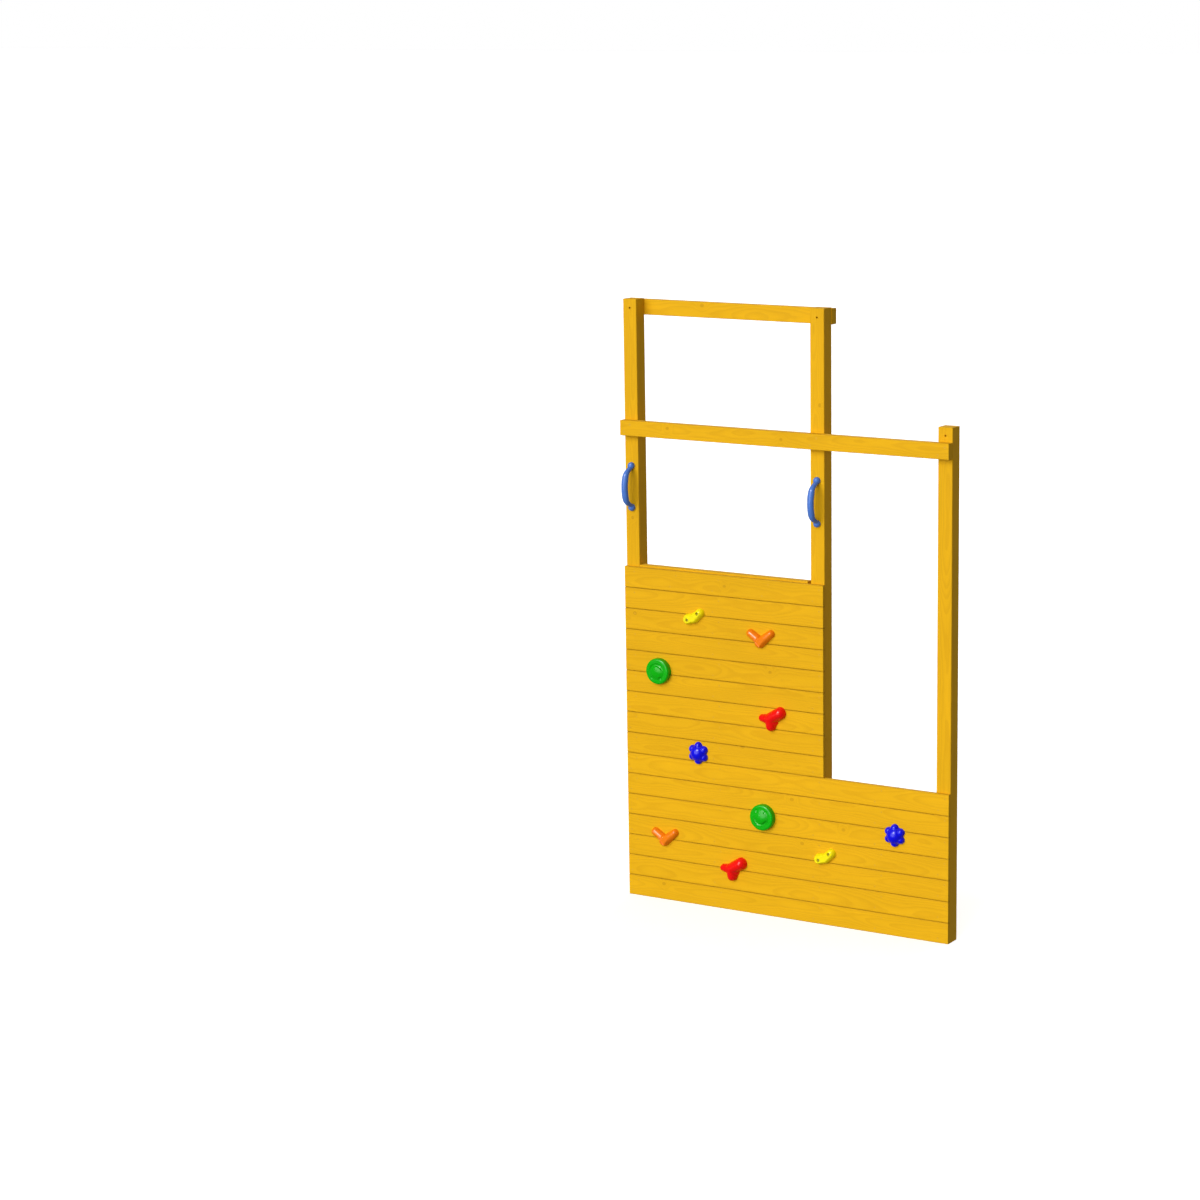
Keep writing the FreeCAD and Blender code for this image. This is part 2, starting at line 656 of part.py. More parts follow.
def orange_hold():
    """A wing and an arm meeting in a low vee, with a crease between them."""
    wing = tapered_lobe((-17, -5), 19.5, (-50, 16), 19.0)
    arm = tapered_lobe((-3, -22), 23.5, (51, 22), 17.5)
    vee = flat_front(on_wall(blended(wing.fuse(arm), 2.0), 1.4), -28)
    upper = Vector(-24, -29, -4)
    lower = Vector(2, -28, -36)
    along = lower - upper
    groove = Part.makeCylinder(ORANGE_GROOVE_RADIUS, along.Length, upper, along)
    ends = [Part.makeSphere(ORANGE_GROOVE_RADIUS, point) for point in (upper, lower)]
    return cut_all(vee, [groove] + ends)


def green_hold():
    """Thick round pad with a low dome, a crescent scoop and finger dimples."""
    base = rod(GREEN_RADIUS, -28, 0)
    base = base.makeFillet(9.0, front_rim(base))
    dome = ball(0, 0, 75, 37).common(rod(48.0, -50, 0))
    scoop = Part.makeTorus(35, 8.5, Vector(0, -33, -4), AXIS_Y)
    scoop = scoop.common(Part.makeBox(200, 200, 200, Vector(-100, -100, 9)))
    dimples = [ball(-24, -30, 12, -38), ball(22, -31, 13, -39)]
    return cut_all(base.fuse(dome), [scoop] + dimples)


def red_hold():
    """Three lobes about a full middle: large up to the right, tapered to the left, round below."""
    large = tapered_lobe((-8, -1), 27.0, (39, 27), 28.0)
    narrow = tapered_lobe((-13, -5), 25.0, (-51, -3), 16.5)
    low = tapered_lobe((-8, -10), 26.0, (-6, -35), 23.5)
    middle = ball(-5, -8, 38, 16)
    return on_wall(blended(large.fuse([narrow, low, middle]), 8.0), 1.35)


def blue_hold():
    """Six-petalled flower with a broad middle."""
    petals = []
    for index in range(6):
        angle = math.radians(30 + 60 * index)
        petals.append(ball(33 * math.cos(angle), 33 * math.sin(angle), 18.5))
    flower = blended(ball(0, 0, 43, 11).fuse(petals), 4.0)
    return on_wall(flower, 1.2)


HOLD_MAKERS = {
    "yellow": yellow_hold,
    "orange": orange_hold,
    "green": green_hold,
    "red": red_hold,
    "blue": blue_hold,
}


# ---------------------------------------------------------------- grab handles

def handle_pad(sign):
    """Rounded end pad of a handle, its flat base on the post."""
    z = sign * HANDLE_HALF_SPACING
    skirt_y = POST_FRONT_Y - HANDLE_PAD_SKIRT
    skirt = rod(HANDLE_PAD_RADIUS, skirt_y, POST_FRONT_Y, 0, z)
    dome = Part.makeSphere(HANDLE_PAD_RADIUS, Vector(0, skirt_y, z))
    behind = Part.makeBox(100, 100, 100, Vector(-50, skirt_y, z - 50))
    return skirt.fuse(dome.cut(behind))


def handle_grip():
    """Bowed grip that thickens away from its two necks."""
    half_path = (
        (15.0, 89.5, 0.95),
        (3.0, 83.5, 0.95),
        (-11.0, 75.5, 0.98),
        (-24.0, 66.5, 1.10),
        (-33.0, 55.0, 1.26),
        (-39.0, 38.0, 1.34),
        (-42.5, 19.0, 1.34),
    )
    stations = [(y, z, HANDLE_NECK_RADIUS * k) for y, z, k in half_path]
    stations += [(HANDLE_GRIP_Y, 0.0, HANDLE_GRIP_RADIUS)]
    stations += [(y, -z, r) for y, z, r in reversed(stations[:-1])]
    centres = [Vector(0, y, z) for y, z, r in stations]
    path = Part.BSplineCurve()
    path.interpolate(centres)
    rings = []
    for centre, (y, z, r) in zip(centres, stations):
        direction = path.tangent(path.parameter(centre))[0]
        rings.append(Part.Wire(Part.makeCircle(r, centre, direction)))
    return Part.makeLoft(rings, True)


def handle_cap_space(sign, radius, depth_y):
    """Column in front of a screw head, from the pad's outside to depth_y."""
    return rod(radius, -60, depth_y, 0, sign * HANDLE_HALF_SPACING)


def handle():
    """One grab handle, centred on its own middle height."""
    body = handle_grip().fuse([handle_pad(1), handle_pad(-1)])
    behind = Part.makeBox(100, 100, 400, Vector(-50, POST_FRONT_Y, -200))
    tools = [behind]
    for sign in (-1, 1):
        tools.append(handle_cap_space(sign, HANDLE_COUNTERBORE_RADIUS, HANDLE_SEAT_Y))
        tools.append(handle_cap_space(sign, HANDLE_SCREW_RADIUS, POST_FRONT_Y + 10))
    return cut_all(body, tools)


def handle_screw():
    """Screw in one handle pad, drawn at the pad's centre line."""
    top_y = HANDLE_SEAT_Y - HANDLE_HEAD_HEIGHT
    tip_y = HANDLE_SCREW_END_Y - 2 * HANDLE_SCREW_RADIUS
    head = rod(HANDLE_HEAD_RADIUS, top_y, HANDLE_SEAT_Y)
    shank = rod(HANDLE_SCREW_RADIUS, HANDLE_SEAT_Y, tip_y)
    point = Part.makeCone(HANDLE_SCREW_RADIUS, 0.5, 2 * HANDLE_SCREW_RADIUS, Vector(0, tip_y, 0), AXIS_Y)
    socket = at(hex_prism(2.9, 2.5), Vector(0, top_y, 0))
    return solid_of(head.fuse([shank, point]).cut(socket))


def handle_cap():
    """Push-in cap that closes one pad flush with its dome, drawn at the pad's centre line."""
    skirt_y = POST_FRONT_Y - HANDLE_PAD_SKIRT
    dome = Part.makeSphere(HANDLE_PAD_RADIUS, Vector(0, skirt_y, 0))
    inner_y = HANDLE_SEAT_Y - HANDLE_HEAD_HEIGHT
    return solid_of(dome.common(rod(HANDLE_CAP_RADIUS, -60, inner_y)))


# ---------------------------------------------------------------- build

def build():
    os.makedirs("parts", exist_ok=True)

    for number in range(1, BOARD_COUNT + 1):
        save("board_%02d" % number, board(number))

    save("post_left", left_post())
    save("post_middle", middle_post())
    save("post_right", right_post())
    save("guard_rail", guard_rail())
    save("tie_beam", tie_beam())
    save("deck_beam", deck_beam())
    save("batten_left", batten(BATTEN_LEFT_X, DECK_BEAM_BOTTOM_Z, BATTEN_LEFT_COLUMN))
    save("batten_right", batten(BATTEN_RIGHT_X, BATTEN_RIGHT_TOP_Z, BATTEN_RIGHT_COLUMN))

    board_screw = countersunk_screw(BOARD_SCREW_LENGTH, BOARD_SCREW_RADIUS, BOARD_SCREW_HEAD_RADIUS)
    long_screw = countersunk_screw(LONG_SCREW_LENGTH, LONG_SCREW_RADIUS, LONG_SCREW_HEAD_RADIUS)
    long_screw_back = turned(long_screw, AXIS_Z, 180)
    save("board_screws_left", [at(board_screw, p) for p in LEFT_COLUMN])
    save("board_screws_middle", [at(board_screw, p) for p in MIDDLE_COLUMN])
    save("board_screws_right", [at(board_screw, p) for p in RIGHT_COLUMN])
    batten_points = BATTEN_LEFT_COLUMN + BATTEN_RIGHT_COLUMN + DECK_BEAM_POINTS
    save("board_screws_battens", [at(board_screw, p) for p in batten_points])
    save("rail_screws", [at(long_screw, p) for p in RAIL_POINTS])
    save("tie_screws", [at(long_screw_back, p) for p in TIE_POINTS])

    (left_corner, left_side), (right_corner, right_side) = bracket_ends()
    save("bracket_left", bracket(left_corner, left_side))
    save("bracket_right", bracket(right_corner, right_side))
    save("bracket_screws", sum(bracket_screws(), []))

    for shape, maker in HOLD_MAKERS.items():
        body = maker()
        hold = drilled(body, FIXINGS[shape])
        shape_plugs = []
        for name, this_shape, centre_x, centre_z, turn in HOLDS:
            if this_shape != shape:
                continue
            place = Vector(centre_x, 0, centre_z)
            save(name, at(turned(hold, AXIS_Y, turn), place))
            if shape in PLUGGED_SHAPES:
                shape_plugs += [at(turned(p, AXIS_Y, turn), place) for p in plugs(body, FIXINGS[shape])]
        if shape_plugs:
            save("hold_plugs_" + shape, shape_plugs)
    bolt = cap_bolt(HOLD_BOLT_END_Y, False)
    nut = tnut()
    save("hold_bolts", [at(bolt, p) for p in TNUT_POINTS])
    save("hold_tnuts", [at(nut, p) for p in TNUT_POINTS])
    save("hold_post_screw", [at(cap_bolt(POST_FIXING_END_Y, True), p) for p in POST_FIXING_POINTS])

    grab = handle()
    handle_xs = (POST_LEFT_X, POST_MIDDLE_X)
    save("handle_left", at(grab, Vector(POST_LEFT_X, 0, HANDLE_CENTRE_Z)))
    save("handle_right", at(grab, Vector(POST_MIDDLE_X, 0, HANDLE_CENTRE_Z)))
    screw_points = [Vector(x, 0, z) for x in handle_xs for z in HANDLE_SCREW_Z]
    save("handle_screws", [at(handle_screw(), p) for p in screw_points])
    save("handle_caps", [at(handle_cap(), p) for p in screw_points])


build()
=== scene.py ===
import math

import bpy
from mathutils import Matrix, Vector


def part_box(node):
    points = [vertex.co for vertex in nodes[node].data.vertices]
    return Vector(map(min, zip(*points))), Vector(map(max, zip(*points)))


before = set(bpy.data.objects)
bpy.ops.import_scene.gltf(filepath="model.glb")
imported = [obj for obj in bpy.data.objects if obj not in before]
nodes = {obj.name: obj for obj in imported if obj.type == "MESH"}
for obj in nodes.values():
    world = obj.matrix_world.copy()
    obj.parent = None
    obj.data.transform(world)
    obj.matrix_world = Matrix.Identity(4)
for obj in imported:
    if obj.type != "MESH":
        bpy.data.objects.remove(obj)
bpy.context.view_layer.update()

# ---------------------------------------------------------------- view
CAMERA_PLACE = (6.2130, -10.9629, 3.8781)
CAMERA_AZIMUTH = 28.099
CAMERA_ELEVATION = 10.780
CAMERA_LENS = 88.432
CAMERA_SHIFT = (-0.2160, -0.0089)
SENSOR_WIDTH = 36.0
VIEW_NEAR = 0.1
VIEW_FAR = 1000.0

# ---------------------------------------------------------------- axes
X, Y, Z = 0, 1, 2
# A timber's length, width and thickness run along these.
LEVEL = (X, Z, Y)
UPRIGHT = (Z, X, Y)

# ---------------------------------------------------------------- colours, linear
STAIN_LIGHT = (0.770, 0.412, 0.0045)
STAIN_DARK = (0.610, 0.296, 0.0030)
KNOT_COLOUR = (0.400, 0.170, 0.0030)
KNOT_RIM = (0.300, 0.115, 0.0025)
HOLD_COLOURS = {
    "yellow": (0.940, 0.820, 0.003),
    "orange": (0.910, 0.215, 0.001),
    "green": (0.001, 0.430, 0.001),
    "red": (0.900, 0.003, 0.001),
    "blue": (0.001, 0.001, 0.760),
}
HANDLE_COLOUR = (0.082, 0.205, 0.640)
SCREW_STAIN = (0.800, 0.430, 0.006)
OLIVE_ZINC = (0.480, 0.430, 0.035)
WHITE_ZINC = (0.62, 0.63, 0.64)
DULL_ZINC = (0.52, 0.46, 0.20)
WHITE = (1.0, 1.0, 1.0, 1.0)
FLOOR_PAINT = (0.90, 0.90, 0.90, 1.0)

# ---------------------------------------------------------------- wood, lengths in metres
RING_SPACING = 0.0046
RING_STRENGTH = 0.32
BEND_ACROSS = 0.060
BEND_DEEP = 0.050
RIPPLE = 0.0044
STEM_LEAN = 0.036
PITH_NEAREST = 0.030
PITH_SPREAD = 0.060
KNOT_SPACING = 0.60
KNOT_STRETCH = 0.8
KNOT_RARITY = 0.88
KNOT_SMALLEST = 0.0035
KNOT_LARGEST = 0.0080
KNOT_RING_SPACING = 0.0011
KNOT_SWELL = 0.017
KNOT_SWELL_REACH = 2.6
DARKEST_EDGE = 0.0005
# Darkening towards the long edges, as reach and darkest shade: on the boards it is painted shade of
# the seams, on the other timbers a milder darkening.
BOARD_PAINTED_SEAM_SHADE = (0.0070, 0.81)
TIMBER_EDGE = (0.0040, 0.92)
KNOT_STRENGTH = 0.34
KNOT_RIM_STRENGTH = 0.22
# How closely a noise repeats along the grain and across it.
STREAKS = (5.0, 240.0)
HAIRS = (26.0, 900.0)
BLOTCHES = (2.0, 11.0)
STREAK_STRENGTH = 0.26
TINT_RANGE = 0.045
END_GRAIN_SHADE = -0.16
END_GRAIN_ROUGHNESS = 0.15
WOOD_ROUGHNESS = (0.52, 0.62)
WOOD_SPECULAR = 0.09
WOOD_BUMP = 0.00045
BOARD_COUNT = 16

# ---------------------------------------------------------------- plastic and metal
HOLD_ROUGHNESS = 0.26
HANDLE_ROUGHNESS = 0.24
HOLD_GRIT = 0.6
HANDLE_GRIT = 0.3
PLASTIC_SPECULAR = 0.27
PLASTIC_BUMP = 0.00022
METAL_BUMP = 0.00005
PAINT_SPECULAR = 0.25
PAINT_BUMP = 0.00004

# ---------------------------------------------------------------- light
WORLD_LIGHT = 0.22
FLOOR_REACH = 400.0
FLOOR_GLOW = 0.46


# ---------------------------------------------------------------- node helpers

class Graph:
    """A material's node tree, with short calls for the nodes used here."""

    def __init__(self, name):
        self.material = bpy.data.materials.new(name)
        self.material.use_nodes = True
        self.tree = self.material.node_tree
        self.tree.nodes.clear()
        self.shader = self.node("ShaderNodeBsdfPrincipled")
        output = self.node("ShaderNodeOutputMaterial")
        self.tree.links.new(self.shader.outputs[0], output.inputs["Surface"])

    def node(self, kind, **settings):
        made = self.tree.nodes.new(kind)
        for key, value in settings.items():
            setattr(made, key, value)
        return made

    def feed(self, socket, value):
        if isinstance(value, bpy.types.NodeSocket):
            self.tree.links.new(value, socket)
        else:
            socket.default_value = value

    def math(self, operation, a, b=0.0, c=0.0):
        made = self.node("ShaderNodeMath", operation=operation)
        for socket, value in zip(made.inputs, (a, b, c)):
            self.feed(socket, value)
        return made.outputs[0]

    def times(self, a, b):
        return self.math("MULTIPLY", a, b)

    def plus(self, a, b):
        return self.math("ADD", a, b)

    def minus(self, a, b):
        return self.math("SUBTRACT", a, b)

    def swing(self, value, reach):
        """Turn a value from 0 to 1 into one from minus half of reach to plus half of it."""
        return self.math("MULTIPLY_ADD", value, reach, -reach / 2)

    def length(self, a, b):
        return self.math("SQRT", self.plus(self.times(a, a), self.times(b, b)))

    def vector_math(self, operation, a, b):
        made = self.node("ShaderNodeVectorMath", operation=operation)
        self.feed(made.inputs[0], a)
        self.feed(made.inputs[1], b)
        return made.outputs[0]

    def combine(self, x, y, z):
        made = self.node("ShaderNodeCombineXYZ")
        for socket, value in zip(made.inputs, (x, y, z)):
            self.feed(socket, value)
        return made.outputs[0]

    def separate(self, vector):
        made = self.node("ShaderNodeSeparateXYZ")
        self.feed(made.inputs[0], vector)
        return made.outputs

    def noise(self, vector, scale, detail, roughness=0.5):
        made = self.node("ShaderNodeTexNoise", noise_dimensions="3D")
        self.feed(made.inputs["Vector"], vector)
        made.inputs["Scale"].default_value = scale
        made.inputs["Detail"].default_value = detail
        made.inputs["Roughness"].default_value = roughness
        return made.outputs[0]

    def remap(self, value, low, high, to_low=0.0, to_high=1.0, smooth=True):
        kind = "SMOOTHSTEP" if smooth else "LINEAR"
        made = self.node("ShaderNodeMapRange", interpolation_type=kind)
        for socket, item in zip(made.inputs, (value, low, high, to_low, to_high)):
            self.feed(socket, item)
        return made.outputs[0]

    def mix(self, factor, a, b):
        made = self.node("ShaderNodeMix", data_type="RGBA")
        self.feed(made.inputs[0], factor)
        for socket, value in ((made.inputs[6], a), (made.inputs[7], b)):
            if isinstance(value, tuple):
                value = (*value, 1.0)
            self.feed(socket, value)
        return made.outputs[2]

    def scale_colour(self, colour, amount):
        made = self.node("ShaderNodeVectorMath", operation="SCALE")
        self.feed(made.inputs[0], colour)
        self.feed(made.inputs["Scale"], amount)
        return made.outputs[0]

    def attribute(self, name, output):
        made = self.node("ShaderNodeAttribute", attribute_type="OBJECT", attribute_name=name)
        return made.outputs[output]

    def place(self):
        return self.node("ShaderNodeTexCoord").outputs["Object"]

    def bump(self, height, distance, strength):
        made = self.node("ShaderNodeBump")
        made.inputs["Strength"].default_value = strength
        made.inputs["Distance"].default_value = distance
        self.feed(made.inputs["Height"], height)
        self.feed(self.shader.inputs["Normal"], made.outputs[0])


# ---------------------------------------------------------------- wood

class Stem:
    """Places within one timber: a along it, c across its width, d through its thickness."""

    def __init__(self, g, axes):
        along, across, depth = axes
        local = g.vector_math("SUBTRACT", g.place(), g.attribute("piece_centre", "Vector"))
        half = g.separate(g.attribute("piece_half", "Vector"))
        pith = g.separate(g.attribute("pith", "Vector"))
        parts = g.separate(local)
        self.a, self.c, self.d = parts[along], parts[across], parts[depth]
        self.half_width = half[across]
        self.width = g.times(half[across], 2.0)
        self.pith_c, self.pith_d, self.lean = pith[across], pith[depth], pith[along]
        self.seed = g.attribute("seed", "Fac")
        self.tint = g.attribute("tint", "Fac")


def knots(g, stem):
    """Knots, one candidate in each stretch of the length.
    Gives the distance from the nearest one's middle, its radius, whether it is there, and how far
    the rings swell round it.
    """
    knot_a = g.plus(g.math("DIVIDE", stem.a, KNOT_SPACING), stem.seed)
    knot_c = g.math("DIVIDE", stem.c, stem.width)
    cells = g.node("ShaderNodeTexVoronoi", voronoi_dimensions="2D", feature="F1")
    cells.inputs["Scale"].default_value = 1.0
    g.feed(cells.inputs["Vector"], g.combine(knot_a, g.plus(knot_c, 0.5), 0.0))
    point = g.separate(cells.outputs["Position"])
    chance = g.separate(cells.outputs["Color"])
    off_a = g.times(g.minus(knot_a, point[0]), KNOT_SPACING * KNOT_STRETCH)
    off_c = g.times(g.minus(knot_c, g.minus(point[1], 0.5)), stem.width)
    reach = g.length(off_a, off_c)
    present = g.math("GREATER_THAN", chance[0], KNOT_RARITY)
    size = g.remap(chance[1], 0.0, 1.0, KNOT_SMALLEST, KNOT_LARGEST, smooth=False)
    near = g.math("DIVIDE", reach, g.times(size, KNOT_SWELL_REACH))
    swell = g.math("EXPONENT", g.times(g.times(near, near), -1.0))
    swell = g.times(g.times(swell, present), KNOT_SWELL)
    return reach, size, present, swell


def late_wood(g, stem, swell):
    """The dark late wood of each growth ring, from 0 to 1. The stem bends slowly along its length."""
    slow = g.combine(g.plus(stem.a, stem.seed), g.times(stem.c, 1.6), g.times(stem.d, 1.6))
    bend_c = g.swing(g.noise(slow, 1.5, 1.0), BEND_ACROSS)
    bend_d = g.swing(g.noise(g.vector_math("ADD", slow, (17.3, 5.1, 9.2)), 1.9, 1.5), BEND_DEEP)
    ripple = g.swing(g.noise(g.vector_math("ADD", slow, (3.7, 1.9, 4.4)), 9.0, 2.0), RIPPLE)
    from_pith_c = g.plus(g.minus(stem.c, stem.pith_c), bend_c)
    from_pith_d = g.plus(g.minus(stem.d, stem.pith_d), bend_d)
    radius = g.plus(g.length(from_pith_c, from_pith_d), g.times(stem.a, stem.lean))
    radius = g.plus(radius, g.plus(swell, ripple))
    turn = g.math("FRACT", g.math("DIVIDE", radius, RING_SPACING))
    return g.times(g.remap(turn, 0.25, 0.86), g.remap(turn, 0.88, 1.0, 1.0, 0.0))


def fibres(g, stem, fineness):
    """Coordinates that draw a noise out along the grain."""
    along, across = fineness
    return g.combine(g.times(stem.a, along), g.times(stem.c, across), g.times(stem.d, across))


def knot_look(g, colour, reach, size, present):
    """Lay the knots over the rings. Gives the colour and where a knot lies."""
    inside = g.times(g.remap(reach, g.times(size, 0.86), size, 1.0, 0.0), present)
    rim_in = g.remap(reach, g.times(size, 0.78), g.times(size, 0.98))
    rim_out = g.remap(reach, g.times(size, 1.02), g.times(size, 1.25), 1.0, 0.0)
    rim = g.times(g.times(rim_in, rim_out), present)
    rings = g.math("FRACT", g.math("DIVIDE", reach, KNOT_RING_SPACING))
    heart = g.mix(g.times(rings, 0.35), KNOT_COLOUR, KNOT_RIM)
    colour = g.mix(g.times(inside, KNOT_STRENGTH), colour, heart)
    return g.mix(g.times(rim, KNOT_RIM_STRENGTH), colour, KNOT_RIM), inside


def wood(name, axes, edge):
    """Stained softwood, a solid pattern of growth rings about each piece's own pith.
    edge holds how far in from the long edges the colour darkens, and the shade it gives them; on the
    boards this darkening is painted shade of the seams.
    """
    g = Graph(name)
    stem = Stem(g, axes)
    reach, size, present, swell = knots(g, stem)
    late = late_wood(g, stem, swell)

    streak_place = fibres(g, stem, STREAKS)
    streak_place = g.vector_math("ADD", streak_place, g.combine(stem.seed, stem.seed, 0.0))
    streak = g.noise(streak_place, 1.0, 3.0, 0.6)
    hair = g.noise(fibres(g, stem, HAIRS), 1.0, 2.0, 0.6)
    blotch_along = g.plus(g.times(stem.a, BLOTCHES[0]), stem.seed)
    blotch_place = g.combine(blotch_along, g.times(stem.c, BLOTCHES[1]), stem.d)
    blotch = g.noise(blotch_place, 1.6, 3.0, 0.55)

    # Shade: blotches, fine hairs, the piece's own tint, darkening towards the long edges (on the
    # boards painted shade of the seams) and end grain.
    shade = g.remap(blotch, 0.25, 0.75, 0.955, 1.045, smooth=False)
    shade = g.times(shade, g.remap(hair, 0.3, 0.7, 0.985, 1.015, smooth=False))
    shade = g.times(shade, g.math("MULTIPLY_ADD", stem.tint, TINT_RANGE, 1.0))
    # Painted shade: the long edges are darkened, on the boards standing in for the shade of the seams
    # between them.
    to_edge = g.minus(stem.half_width, g.math("ABSOLUTE", stem.c))
    edge_reach, edge_shade = edge
    shade = g.times(shade, g.remap(to_edge, DARKEST_EDGE, edge_reach, edge_shade, 1.0))
    normal = g.separate(g.node("ShaderNodeTexCoord").outputs["Normal"])
    end_face = g.remap(g.math("ABSOLUTE", normal[axes[0]]), 0.6, 0.95)
    shade = g.times(shade, g.math("MULTIPLY_ADD", end_face, END_GRAIN_SHADE, 1.0))

    colour = g.mix(g.times(late, RING_STRENGTH), STAIN_LIGHT, STAIN_DARK)
    colour = g.mix(g.remap(streak, 0.50, 0.78, 0.0, STREAK_STRENGTH), colour, STAIN_DARK)
    colour, inside = knot_look(g, colour, reach, size, present)
    g.feed(g.shader.inputs["Base Color"], g.scale_colour(colour, shade))

    # Late wood is smoother and end grain rougher.
    rough = g.plus(g.times(late, -0.07), g.remap(blotch, 0.2, 0.8, *WOOD_ROUGHNESS, smooth=False))
    rough = g.plus(rough, g.times(end_face, END_GRAIN_ROUGHNESS))
    g.feed(g.shader.inputs["Roughness"], rough)
    g.shader.inputs["Specular IOR Level"].default_value = WOOD_SPECULAR
    height = g.plus(g.times(late, 0.55), g.times(streak, 0.9))
    height = g.plus(height, g.times(hair, 0.35))
    height = g.plus(height, g.times(inside, 0.6))
    g.bump(height, WOOD_BUMP, 0.55)
    return g.material


# ---------------------------------------------------------------- plastic and metal

def plastic(name, colour, roughness, grit):
    """Moulded plastic with a fine sandy skin and faint flow marks."""
    g = Graph(name)
    place = g.place()
    cloud = g.noise(place, 38.0, 3.0, 0.55)
    sand = g.noise(place, 1500.0, 2.0, 0.6)
    soft = g.noise(place, 260.0, 2.0, 0.5)
    deep = tuple(0.80 * channel for channel in colour)
    shade = g.mix(g.remap(cloud, 0.30, 0.72, 0.0, 0.55, smooth=False), colour, deep)
    pale = tuple(channel + 0.04 * (1.0 - channel) for channel in colour)
    shade = g.mix(g.remap(sand, 0.60, 0.80, 0.0, 0.30 * grit), shade, pale)
    g.feed(g.shader.inputs["Base Color"], shade)
    wear = g.plus(g.times(cloud, 0.6), g.times(sand, 0.4))
    rough = g.remap(wear, 0.30, 0.70, roughness - 0.06, roughness + 0.08, smooth=False)
    g.feed(g.shader.inputs["Roughness"], rough)
    g.shader.inputs["Specular IOR Level"].default_value = PLASTIC_SPECULAR
    height = g.plus(g.times(sand, 0.7), g.times(soft, 0.6))
    g.bump(height, PLASTIC_BUMP * grit, 0.6)
    return g.material


def metal(name, colour, roughness):
    """Bare plated steel with a mottled film and light scratches."""
    g = Graph(name)
    place = g.place()
    mottle = g.noise(place, 420.0, 3.0, 0.6)
    scratch = g.noise(g.vector_math("MULTIPLY", place, (900.0, 900.0, 4200.0)), 1.0, 2.0, 0.6)
    dull = tuple(0.62 * channel for channel in colour)
    g.feed(g.shader.inputs["Base Color"], g.mix(g.remap(mottle, 0.35, 0.75, 0.0, 0.7), colour, dull))
    rough = g.remap(mottle, 0.3, 0.7, roughness - 0.08, roughness + 0.12, smooth=False)
    g.feed(g.shader.inputs["Roughness"], rough)
    g.shader.inputs["Metallic"].default_value = 1.0
    g.bump(scratch, METAL_BUMP, 0.4)
    return g.material


def painted(name, colour, roughness):
    """Coated steel, the coat a little uneven."""
    g = Graph(name)
    mottle = g.noise(g.place(), 700.0, 3.0, 0.6)
    deep = tuple(0.80 * channel for channel in colour)
    g.feed(g.shader.inputs["Base Color"], g.mix(g.remap(mottle, 0.30, 0.70), colour, deep))
    rough = g.remap(mottle, 0.3, 0.7, roughness - 0.06, roughness + 0.10)
    g.feed(g.shader.inputs["Roughness"], rough)
    g.shader.inputs["Specular IOR Level"].default_value = PAINT_SPECULAR
    g.bump(mottle, PAINT_BUMP, 0.5)
    return g.material


# ---------------------------------------------------------------- dress the frame


def dress(node, material):
    """Give a CAD node one material."""
    mesh = nodes[node].data
    if mesh.materials:
        for index in range(len(mesh.materials)):
            mesh.materials[index] = material
    else:
        mesh.materials.append(material)


def steady(text, salt):
    """A repeatable number from 0 to 1 for a name."""
    value = 0.0
    for index, letter in enumerate(text):
        value += math.sin(ord(letter) * 12.9898 + (index + 1) * 78.233 + salt * 37.719) * 43.758
    return value - math.floor(value)


def dress_timber(node, material, axes):
    """Give one timber its own stem: where its pith lies, how it leans, and its tint."""
    along, across, depth = axes
    piece = nodes[node]
    low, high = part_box(node)
    centre = (low + high) / 2
    half = (high - low) / 2
    pith = Vector((0.0, 0.0, 0.0))
    side = 1.0 if steady(node, 1) > 0.5 else -1.0
    pith[across] = (steady(node, 2) - 0.5) * 1.3 * half[across]
    pith[depth] = side * (half[depth] + PITH_NEAREST + PITH_SPREAD * steady(node, 3))
    pith[along] = (steady(node, 4) - 0.5) * STEM_LEAN
    piece["piece_centre"] = list(centre)
    piece["piece_half"] = list(half)
    piece["pith"] = list(pith)
    piece["seed"] = 40.0 * steady(node, 5)
    piece["tint"] = 2.0 * steady(node, 6) - 1.0
    dress(node, material)


def dress_all_timber():
    board = wood("stained_wood_board", LEVEL, BOARD_PAINTED_SEAM_SHADE)
    level = wood("stained_wood_level", LEVEL, TIMBER_EDGE)
    upright = wood("stained_wood_upright", UPRIGHT, TIMBER_EDGE)
    for number in range(1, BOARD_COUNT + 1):
        dress_timber("board_%02d" % number, board, LEVEL)
    for node in ("guard_rail", "tie_beam", "deck_beam"):
        dress_timber(node, level, LEVEL)
    for node in ("post_left", "post_middle", "post_right", "batten_left", "batten_right"):
        dress_timber(node, upright, UPRIGHT)


def dress_fittings():
    stained = painted("stained_screws", SCREW_STAIN, 0.50)
    white_zinc = metal("white_zinc", WHITE_ZINC, 0.34)
    dull_zinc = metal("dull_zinc", DULL_ZINC, 0.42)
    olive_zinc = painted("olive_zinc", OLIVE_ZINC, 0.36)
    for node in nodes:
        if node.startswith("board_screws") or node in ("rail_screws", "tie_screws", "bracket_screws"):
            dress(node, stained)
    for node in ("bracket_left", "bracket_right", "hold_tnuts"):
        dress(node, white_zinc)
    dress("handle_screws", dull_zinc)
    for node in ("hold_bolts", "hold_post_screw"):
        dress(node, olive_zinc)
    for name, colour in HOLD_COLOURS.items():
        made = plastic("hold_plastic_" + name, colour, HOLD_ROUGHNESS, HOLD_GRIT)
        for node in nodes:
            if node.startswith(("hold_" + name, "hold_plugs_" + name)):
                dress(node, made)
    grip = plastic("handle_plastic", HANDLE_COLOUR, HANDLE_ROUGHNESS, HANDLE_GRIT)
    for node in ("handle_left", "handle_right", "handle_caps"):
        dress(node, grip)


dress_all_timber()
dress_fittings()


# ---------------------------------------------------------------- stage, light and camera

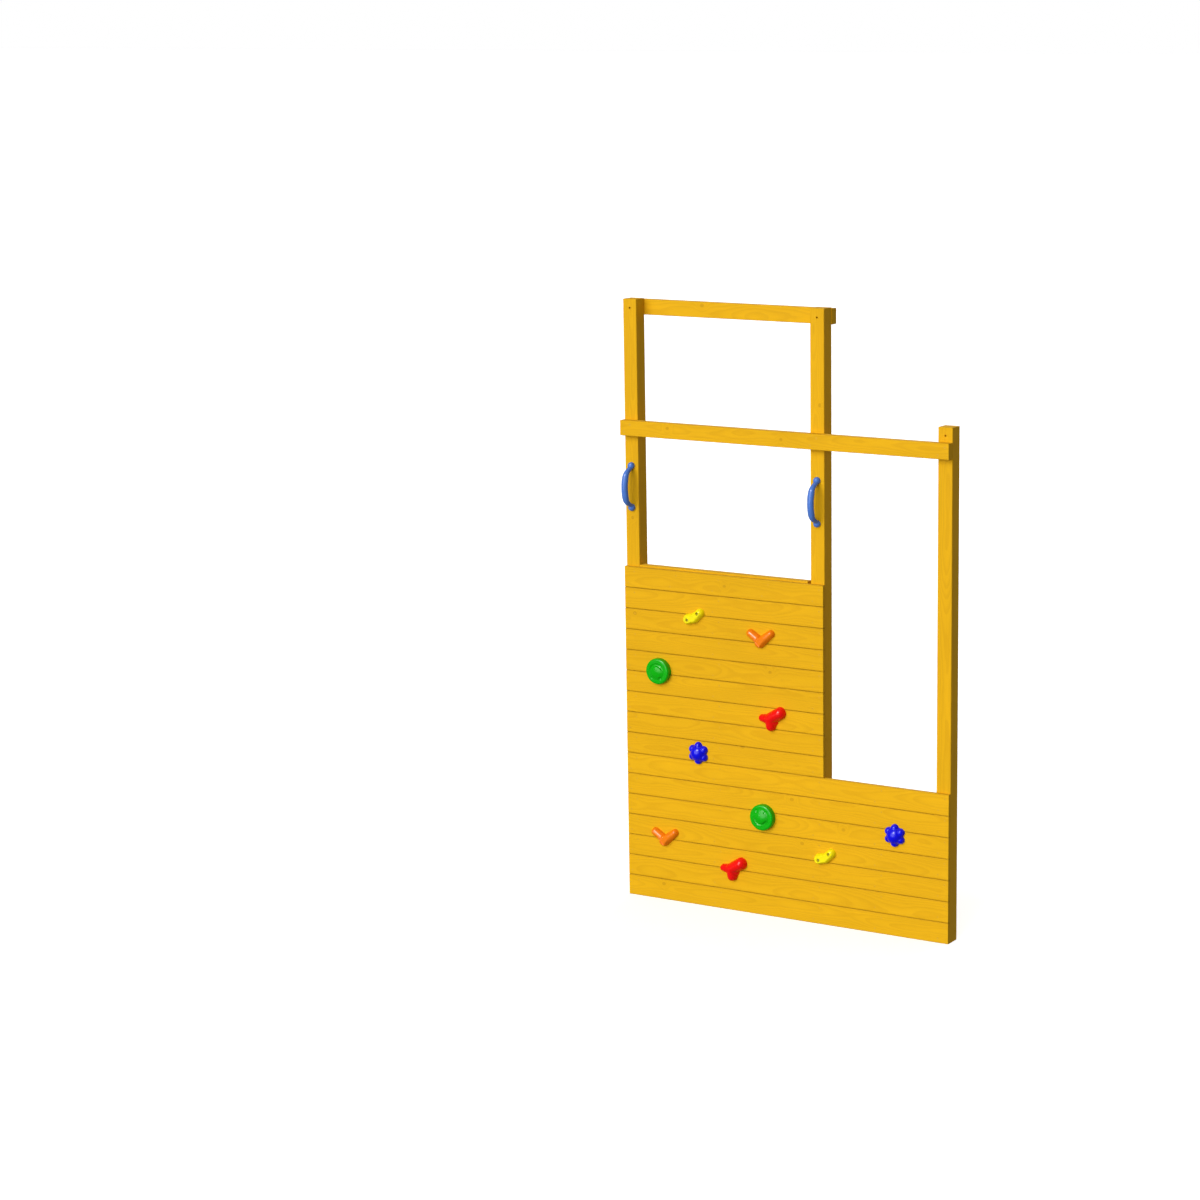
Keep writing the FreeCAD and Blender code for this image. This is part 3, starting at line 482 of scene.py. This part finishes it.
def make_floor():
    """A wide pale floor, slightly self-lit, that throws no light or reflection on the object."""
    mesh = bpy.data.meshes.new("floor")
    signs = ((-1, -1), (1, -1), (1, 1), (-1, 1))
    corners = [(x * FLOOR_REACH, y * FLOOR_REACH, 0.0) for x, y in signs]
    mesh.from_pydata(corners, [], [(0, 1, 2, 3)])
    floor = bpy.data.objects.new("floor", mesh)
    bpy.context.scene.collection.objects.link(floor)
    g = Graph("floor_paint")
    g.shader.inputs["Base Color"].default_value = FLOOR_PAINT
    g.shader.inputs["Emission Color"].default_value = WHITE
    g.shader.inputs["Emission Strength"].default_value = FLOOR_GLOW
    g.shader.inputs["Roughness"].default_value = 0.9
    g.shader.inputs["Specular IOR Level"].default_value = 0.1
    mesh.materials.append(g.material)
    floor.visible_diffuse = False
    floor.visible_glossy = False


def make_sun(name, azimuth, elevation, strength, spread, only_gloss=False):
    """A distant soft light. Angles are in degrees, and the azimuth is counted as the camera's is."""
    lamp = bpy.data.lights.new(name, "SUN")
    lamp.energy = strength
    lamp.angle = math.radians(spread)
    sun = bpy.data.objects.new(name, lamp)
    sun.rotation_euler = (math.radians(90 - elevation), 0.0, math.radians(azimuth))
    sun.visible_diffuse = not only_gloss
    bpy.context.scene.collection.objects.link(sun)


def make_world():
    """Even pale surroundings, seen brighter than the light they give."""
    world = bpy.data.worlds.new("studio")
    bpy.context.scene.world = world
    world.use_nodes = True
    tree = world.node_tree
    background = tree.nodes["Background"]
    background.inputs["Color"].default_value = WHITE
    path = tree.nodes.new("ShaderNodeLightPath")
    strength = tree.nodes.new("ShaderNodeMapRange")
    strength.inputs["To Min"].default_value = WORLD_LIGHT
    strength.inputs["To Max"].default_value = 1.0
    tree.links.new(path.outputs["Is Camera Ray"], strength.inputs["Value"])
    tree.links.new(strength.outputs[0], background.inputs["Strength"])


def make_camera():
    data = bpy.data.cameras.new("camera")
    data.lens = CAMERA_LENS
    data.sensor_width = SENSOR_WIDTH
    data.shift_x, data.shift_y = CAMERA_SHIFT
    data.clip_start = VIEW_NEAR
    data.clip_end = VIEW_FAR
    camera = bpy.data.objects.new("camera", data)
    camera.location = CAMERA_PLACE
    camera.rotation_euler = (math.radians(90 - CAMERA_ELEVATION), 0.0, math.radians(CAMERA_AZIMUTH))
    bpy.context.scene.collection.objects.link(camera)
    bpy.context.scene.camera = camera


make_floor()
make_sun("key", azimuth=-8.0, elevation=17.0, strength=3.42, spread=58.0)
make_sun("overhead", azimuth=0.0, elevation=88.0, strength=0.35, spread=60.0)
make_sun("back", azimuth=180.0, elevation=34.0, strength=1.5, spread=30.0)
make_sun("glint", azimuth=-2.0, elevation=46.0, strength=3.4, spread=9.0, only_gloss=True)
make_world()
make_camera()
bpy.context.scene.view_settings.view_transform = "Standard"
